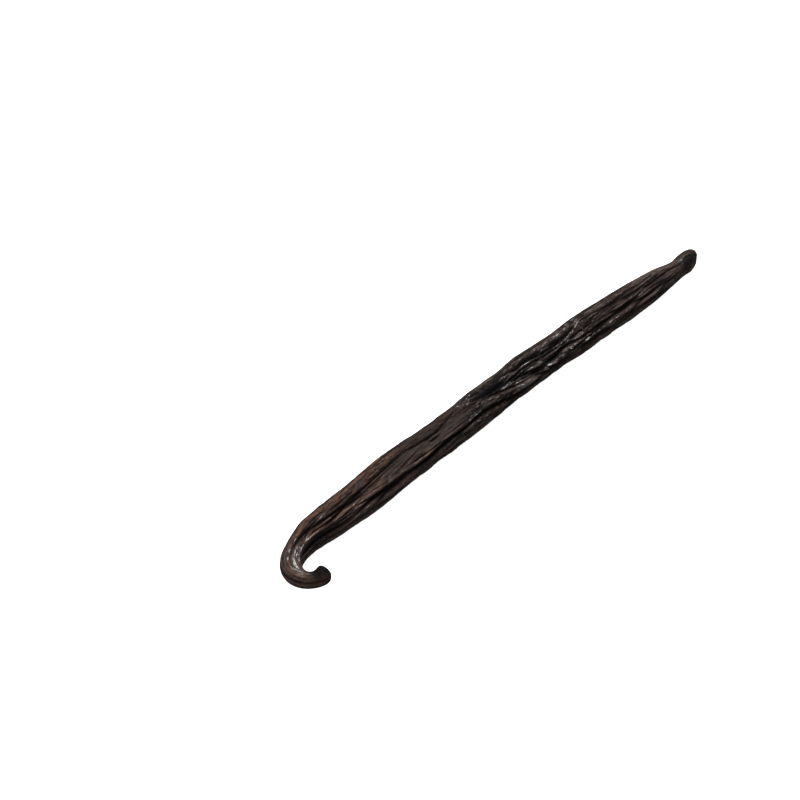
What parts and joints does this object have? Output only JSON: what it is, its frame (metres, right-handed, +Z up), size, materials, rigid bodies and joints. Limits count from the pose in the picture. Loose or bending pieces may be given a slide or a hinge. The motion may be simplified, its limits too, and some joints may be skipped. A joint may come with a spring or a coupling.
{
  "type": "vanilla pod",
  "caption": "Cured vanilla pod: a long, slightly flattened, wrinkled dark bean with a small knob at one end and a curled hook at the other.",
  "frame": {"origin": "centre of the bounding box in plan, on the surface that the pod lies on", "axes": "+X along the pod towards the blossom end's knob, the curled hook being at -X; +Z up; the hook curls towards -Y"},
  "size_m": [0.1628, 0.0196, 0.0078],
  "materials": {
    "cured_skin": "oily, dark brown, satin to glossy"
  },
  "bodies": {
    "root": {"vanilla_pod": "cured_skin"}
  },
  "joints": []
}
